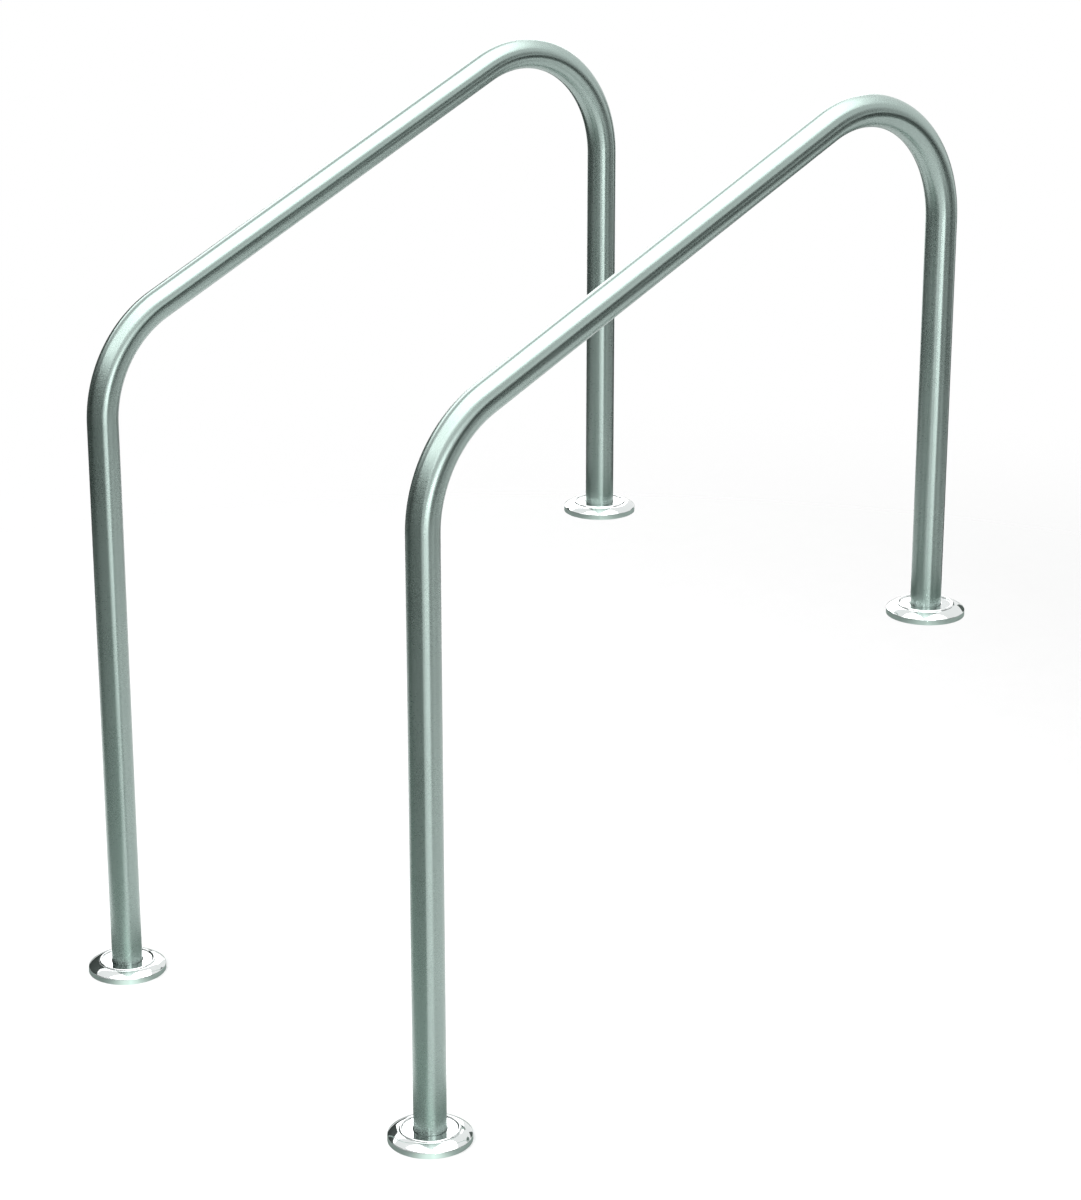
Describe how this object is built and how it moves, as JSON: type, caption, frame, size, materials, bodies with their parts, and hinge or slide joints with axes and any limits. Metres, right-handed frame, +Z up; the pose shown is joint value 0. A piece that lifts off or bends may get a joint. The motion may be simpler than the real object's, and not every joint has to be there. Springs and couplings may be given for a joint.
{
  "type": "pool handrail pair",
  "caption": "Pair of bent steel tube handrails for pool steps, with a sloping grip bar, bolt-down base flanges and round sliding covers on the feet.",
  "frame": {"origin": "midway between the four feet, on the level that the lower feet stand on", "axes": "+X along the rails from the lower feet to the upper feet, +Y across from the right rail to the left rail, +Z up"},
  "size_m": [1.025, 0.79, 1.2548],
  "materials": {
    "satin_tube": "satin, brushed along the tube",
    "flange_steel": "turned, matt",
    "weld_steel": "rippled weld bead",
    "gasket_rubber": "matt black",
    "polished_cover": "mirror polished stainless steel",
    "screw_steel": "bright"
  },
  "bodies": {
    "root": {"right_rail_tube": "satin_tube", "left_rail_tube": "satin_tube", "right_lower_base_flange": "flange_steel", "right_lower_weld": "weld_steel", "right_lower_gasket": "gasket_rubber", "right_upper_base_flange": "flange_steel", "right_upper_weld": "weld_steel", "right_upper_gasket": "gasket_rubber", "left_lower_base_flange": "flange_steel", "left_lower_weld": "weld_steel", "left_lower_gasket": "gasket_rubber", "left_upper_base_flange": "flange_steel", "left_upper_weld": "weld_steel", "left_upper_gasket": "gasket_rubber", "right_bonding_screw": "screw_steel", "right_bonding_washer": "screw_steel", "left_bonding_screw": "screw_steel", "left_bonding_washer": "screw_steel"},
    "right_lower_sliding_cover": {"right_lower_cover": "polished_cover"},
    "right_upper_sliding_cover": {"right_upper_cover": "polished_cover"},
    "left_lower_sliding_cover": {"left_lower_cover": "polished_cover"},
    "left_upper_sliding_cover": {"left_upper_cover": "polished_cover"}
  },
  "joints": [
    {"name": "right_lower_cover_lift", "type": "slide", "parent": "root", "child": "right_lower_sliding_cover", "axis": [0, 0, 1], "range_m": [0, 0.785]},
    {"name": "right_upper_cover_lift", "type": "slide", "parent": "root", "child": "right_upper_sliding_cover", "axis": [0, 0, 1], "range_m": [0, 0.54]},
    {"name": "left_lower_cover_lift", "type": "slide", "parent": "root", "child": "left_lower_sliding_cover", "axis": [0, 0, 1], "range_m": [0, 0.785]},
    {"name": "left_upper_cover_lift", "type": "slide", "parent": "root", "child": "left_upper_sliding_cover", "axis": [0, 0, 1], "range_m": [0, 0.54]}
  ]
}
